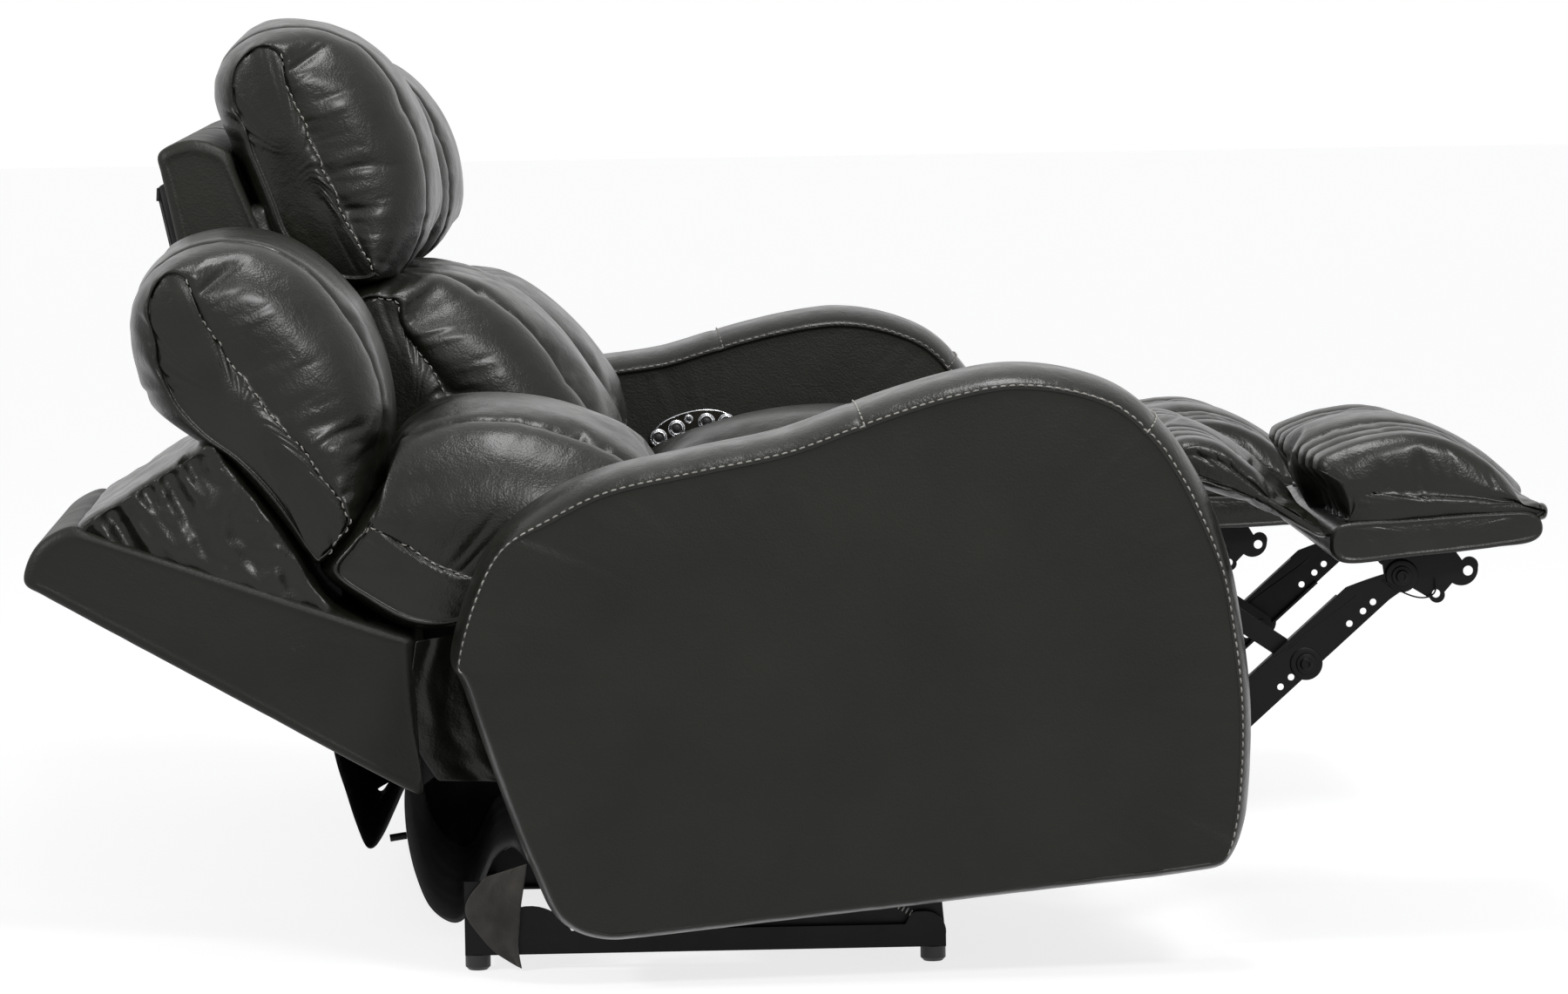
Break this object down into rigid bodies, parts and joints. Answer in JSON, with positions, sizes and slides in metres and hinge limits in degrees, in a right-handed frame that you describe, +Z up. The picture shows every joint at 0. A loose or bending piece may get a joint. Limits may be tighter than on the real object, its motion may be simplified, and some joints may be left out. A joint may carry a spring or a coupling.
{
  "type": "reclining sofa",
  "caption": "Three-seat leather power reclining sofa with curved arms, fold-out footrests on pressed-steel links, adjustable headrests and a fixed middle seat.",
  "frame": {"origin": "on the floor, at the middle of the sofa's bounding box as pictured", "axes": "+Z up, -Y is the front that a sitter faces, +X is the sitter's left"},
  "size_m": [2.13, 1.811, 1.1245],
  "materials": {
    "black_leather": "fine grained, semi-gloss with light grey topstitching",
    "board_cover": "dark cloth over board",
    "black_steel": "semi-gloss black powder coat",
    "spring_steel": "oiled wire",
    "chrome_trim": "polished chrome",
    "motor_plastic": "moulded black",
    "foot_plastic": "moulded black, rounded"
  },
  "bodies": {
    "base": {"base_frame": "black_steel", "feet": "foot_plastic", "centre_seat_box": "black_leather", "centre_seat_cushion": "black_leather", "centre_back_shell": "black_leather", "centre_lumbar_cushion": "black_leather", "centre_headrest": "black_leather"},
    "right_carriage_body": {"right_carriage": "black_steel"},
    "right_seat": {"right_seat_frame": "black_steel", "right_seat_springs": "spring_steel", "right_seat_cushion": "black_leather", "right_arm": "black_leather", "right_control_plate": "chrome_trim", "right_drive_motors": "motor_plastic", "right_curtain": "black_leather"},
    "right_crank": {"right_crank_links": "black_steel"},
    "right_channel": {"right_channel_links": "black_steel"},
    "right_cross": {"right_cross_links": "black_steel"},
    "right_footrest": {"right_footrest_brackets": "black_steel", "right_footrest_board": "board_cover", "right_footrest_pad": "black_leather"},
    "right_middle_pad": {"right_mid_pad": "black_leather"},
    "right_legrest_drive": {"right_legrest_block": "motor_plastic"},
    "right_recline_drive": {"right_recline_block": "motor_plastic"},
    "right_back": {"right_back_shell": "black_leather", "right_back_brackets": "black_steel"},
    "right_lumbar": {"right_lumbar_cushion": "black_leather"},
    "right_head": {"right_headrest": "black_leather", "right_headrest_arms": "black_steel"},
    "right_close_button_body": {"right_close_button": "chrome_trim"},
    "right_open_button_body": {"right_open_button": "chrome_trim"},
    "right_home_button_body": {"right_home_button": "chrome_trim"},
    "right_headrest_up_button_body": {"right_headrest_up_button": "chrome_trim"},
    "right_headrest_down_button_body": {"right_headrest_down_button": "chrome_trim"},
    "left_carriage_body": {"left_carriage": "black_steel"},
    "left_seat": {"left_seat_frame": "black_steel", "left_seat_springs": "spring_steel", "left_seat_cushion": "black_leather", "left_arm": "black_leather", "left_control_plate": "chrome_trim", "left_drive_motors": "motor_plastic"},
    "left_crank": {"left_crank_links": "black_steel"},
    "left_channel": {"left_channel_links": "black_steel"},
    "left_cross": {"left_cross_links": "black_steel"},
    "left_footrest": {"left_footrest_brackets": "black_steel", "left_footrest_board": "board_cover", "left_footrest_pad": "black_leather"},
    "left_middle_pad": {"left_mid_pad": "black_leather"},
    "left_legrest_drive": {"left_legrest_block": "motor_plastic"},
    "left_recline_drive": {"left_recline_block": "motor_plastic"},
    "left_back": {"left_back_shell": "black_leather", "left_back_brackets": "black_steel"},
    "left_lumbar": {"left_lumbar_cushion": "black_leather"},
    "left_head": {"left_headrest": "black_leather", "left_headrest_arms": "black_steel"},
    "left_close_button_body": {"left_close_button": "chrome_trim"},
    "left_open_button_body": {"left_open_button": "chrome_trim"},
    "left_home_button_body": {"left_home_button": "chrome_trim"},
    "left_headrest_up_button_body": {"left_headrest_up_button": "chrome_trim"},
    "left_headrest_down_button_body": {"left_headrest_down_button": "chrome_trim"}
  },
  "joints": [
    {"name": "right_glide", "type": "slide", "parent": "base", "child": "right_carriage_body", "axis": [0, 1, 0], "range_m": [0, 0.14]},
    {"name": "right_tilt", "type": "hinge", "parent": "right_carriage_body", "child": "right_seat", "pos_m": [-0.586, 0.26219, 0.15], "axis": [1, 0, 0], "range_deg": [0, 3.8]},
    {"name": "right_recline", "type": "hinge", "parent": "right_seat", "child": "right_back", "pos_m": [-0.586, 0.23745, 0.42625], "axis": [1, 0, 0], "range_deg": [0, 44.6]},
    {"name": "right_recline_block_slide", "type": "slide", "parent": "right_seat", "child": "right_recline_drive", "axis": [0, 0.9978, -0.0663], "range_m": [0, 0.11]},
    {"name": "right_headrest_turn", "type": "hinge", "parent": "right_back", "child": "right_head", "pos_m": [-0.586, 0.55137, 0.44018], "axis": [1, 0, 0], "range_deg": [-35, 0]},
    {"name": "right_lumbar_turn", "type": "hinge", "parent": "right_back", "child": "right_lumbar", "pos_m": [-0.586, 0.45085, 0.39374], "axis": [1, 0, 0], "range_deg": [-15, 0]},
    {"name": "right_legrest", "type": "hinge", "parent": "right_seat", "child": "right_crank", "pos_m": [-0.586, -0.30326, 0.31283], "axis": [1, 0, 0], "range_deg": [0, 100]},
    {"name": "right_channel_turn", "type": "hinge", "parent": "right_crank", "child": "right_channel", "pos_m": [-0.586, -0.50152, 0.24821], "axis": [1, 0, 0], "range_deg": [-106.6, 0]},
    {"name": "right_footrest_turn", "type": "hinge", "parent": "right_channel", "child": "right_footrest", "pos_m": [-0.586, -0.72143, 0.44484], "axis": [1, 0, 0], "range_deg": [0, 98.6]},
    {"name": "right_mid_pad_turn", "type": "hinge", "parent": "right_footrest", "child": "right_middle_pad", "pos_m": [-0.586, -0.62611, 0.49177], "axis": [1, 0, 0], "range_deg": [-35, 0]},
    {"name": "right_cross_link_turn", "type": "hinge", "parent": "right_channel", "child": "right_cross", "pos_m": [-0.586, -0.60663, 0.34219], "axis": [1, 0, 0], "range_deg": [-68.4, 0]},
    {"name": "right_legrest_block_slide", "type": "slide", "parent": "right_seat", "child": "right_legrest_drive", "axis": [0, 0.9978, -0.0663], "range_m": [0, 0.2]},
    {"name": "right_close_button_press", "type": "slide", "parent": "right_seat", "child": "right_close_button_body", "axis": [-1, 0, 0], "range_m": [0, 0.0012], "stiffness_N_per_m": 800, "springref_m": -0.001},
    {"name": "right_open_button_press", "type": "slide", "parent": "right_seat", "child": "right_open_button_body", "axis": [-1, 0, 0], "range_m": [0, 0.0012], "stiffness_N_per_m": 800, "springref_m": -0.001},
    {"name": "right_home_button_press", "type": "slide", "parent": "right_seat", "child": "right_home_button_body", "axis": [-1, 0, 0], "range_m": [0, 0.0012], "stiffness_N_per_m": 800, "springref_m": -0.001},
    {"name": "right_headrest_up_button_press", "type": "slide", "parent": "right_seat", "child": "right_headrest_up_button_body", "axis": [-1, 0, 0], "range_m": [0, 0.0012], "stiffness_N_per_m": 800, "springref_m": -0.001},
    {"name": "right_headrest_down_button_press", "type": "slide", "parent": "right_seat", "child": "right_headrest_down_button_body", "axis": [-1, 0, 0], "range_m": [0, 0.0012], "stiffness_N_per_m": 800, "springref_m": -0.001},
    {"name": "left_glide", "type": "slide", "parent": "base", "child": "left_carriage_body", "axis": [0, 1, 0], "range_m": [-0.14, 0]},
    {"name": "left_tilt", "type": "hinge", "parent": "left_carriage_body", "child": "left_seat", "pos_m": [0.586, 0.40219, 0.15], "axis": [1, 0, 0], "range_deg": [-3.8, 0]},
    {"name": "left_recline", "type": "hinge", "parent": "left_seat", "child": "left_back", "pos_m": [0.586, 0.35919, 0.424], "axis": [1, 0, 0], "range_deg": [-44.6, 0]},
    {"name": "left_recline_block_slide", "type": "slide", "parent": "left_seat", "child": "left_recline_drive", "axis": [0, 1, 0], "range_m": [-0.11, 0]},
    {"name": "left_headrest_turn", "type": "hinge", "parent": "left_back", "child": "left_head", "pos_m": [0.586, 0.55719, 0.668], "axis": [1, 0, 0], "range_deg": [-6, 29]},
    {"name": "left_lumbar_turn", "type": "hinge", "parent": "left_back", "child": "left_lumbar", "pos_m": [0.586, 0.52519, 0.562], "axis": [1, 0, 0], "range_deg": [-2.57, 12.43]},
    {"name": "left_legrest", "type": "hinge", "parent": "left_seat", "child": "left_crank", "pos_m": [0.586, -0.17281, 0.275], "axis": [1, 0, 0], "range_deg": [0, 100]},
    {"name": "left_channel_turn", "type": "hinge", "parent": "left_crank", "child": "left_channel", "pos_m": [0.586, -0.36634, 0.19738], "axis": [1, 0, 0], "range_deg": [-106.6, 0]},
    {"name": "left_footrest_turn", "type": "hinge", "parent": "left_channel", "child": "left_footrest", "pos_m": [0.586, -0.59881, 0.379], "axis": [1, 0, 0], "range_deg": [0, 98.6]},
    {"name": "left_mid_pad_turn", "type": "hinge", "parent": "left_footrest", "child": "left_middle_pad", "pos_m": [0.586, -0.50681, 0.43215], "axis": [1, 0, 0], "range_deg": [-35, 0]},
    {"name": "left_cross_link_turn", "type": "hinge", "parent": "left_channel", "child": "left_cross", "pos_m": [0.586, -0.47745, 0.28419], "axis": [1, 0, 0], "range_deg": [-68.4, 0]},
    {"name": "left_legrest_block_slide", "type": "slide", "parent": "left_seat", "child": "left_legrest_drive", "axis": [0, 1, 0], "range_m": [0, 0.2]},
    {"name": "left_close_button_press", "type": "slide", "parent": "left_seat", "child": "left_close_button_body", "axis": [1, 0, 0], "range_m": [0, 0.0012], "stiffness_N_per_m": 800, "springref_m": -0.001},
    {"name": "left_open_button_press", "type": "slide", "parent": "left_seat", "child": "left_open_button_body", "axis": [1, 0, 0], "range_m": [0, 0.0012], "stiffness_N_per_m": 800, "springref_m": -0.001},
    {"name": "left_home_button_press", "type": "slide", "parent": "left_seat", "child": "left_home_button_body", "axis": [1, 0, 0], "range_m": [0, 0.0012], "stiffness_N_per_m": 800, "springref_m": -0.001},
    {"name": "left_headrest_up_button_press", "type": "slide", "parent": "left_seat", "child": "left_headrest_up_button_body", "axis": [1, 0, 0], "range_m": [0, 0.0012], "stiffness_N_per_m": 800, "springref_m": -0.001},
    {"name": "left_headrest_down_button_press", "type": "slide", "parent": "left_seat", "child": "left_headrest_down_button_body", "axis": [1, 0, 0], "range_m": [0, 0.0012], "stiffness_N_per_m": 800, "springref_m": -0.001}
  ],
  "couplings": [
    {"joint": "right_tilt", "follows": "right_glide", "rad_per_m": 0.47373},
    {"joint": "right_recline", "follows": "right_glide", "rad_per_m": 5.5601},
    {"joint": "right_recline_block_slide", "follows": "right_glide", "ratio": 0.78571},
    {"joint": "right_lumbar_turn", "follows": "right_headrest_turn", "ratio": 0.42857},
    {"joint": "right_channel_turn", "follows": "right_legrest", "ratio": -1.066},
    {"joint": "right_footrest_turn", "follows": "right_legrest", "ratio": 0.986},
    {"joint": "right_mid_pad_turn", "follows": "right_legrest", "ratio": -0.35},
    {"joint": "right_cross_link_turn", "follows": "right_legrest", "ratio": -0.684},
    {"joint": "right_legrest_block_slide", "follows": "right_legrest", "m_per_rad": 0.11459},
    {"joint": "left_tilt", "follows": "left_glide", "rad_per_m": 0.47373},
    {"joint": "left_recline", "follows": "left_glide", "rad_per_m": 5.5601},
    {"joint": "left_recline_block_slide", "follows": "left_glide", "ratio": 0.78571},
    {"joint": "left_lumbar_turn", "follows": "left_headrest_turn", "ratio": 0.42857},
    {"joint": "left_channel_turn", "follows": "left_legrest", "ratio": -1.066},
    {"joint": "left_footrest_turn", "follows": "left_legrest", "ratio": 0.986},
    {"joint": "left_mid_pad_turn", "follows": "left_legrest", "ratio": -0.35},
    {"joint": "left_cross_link_turn", "follows": "left_legrest", "ratio": -0.684},
    {"joint": "left_legrest_block_slide", "follows": "left_legrest", "m_per_rad": 0.11459}
  ]
}
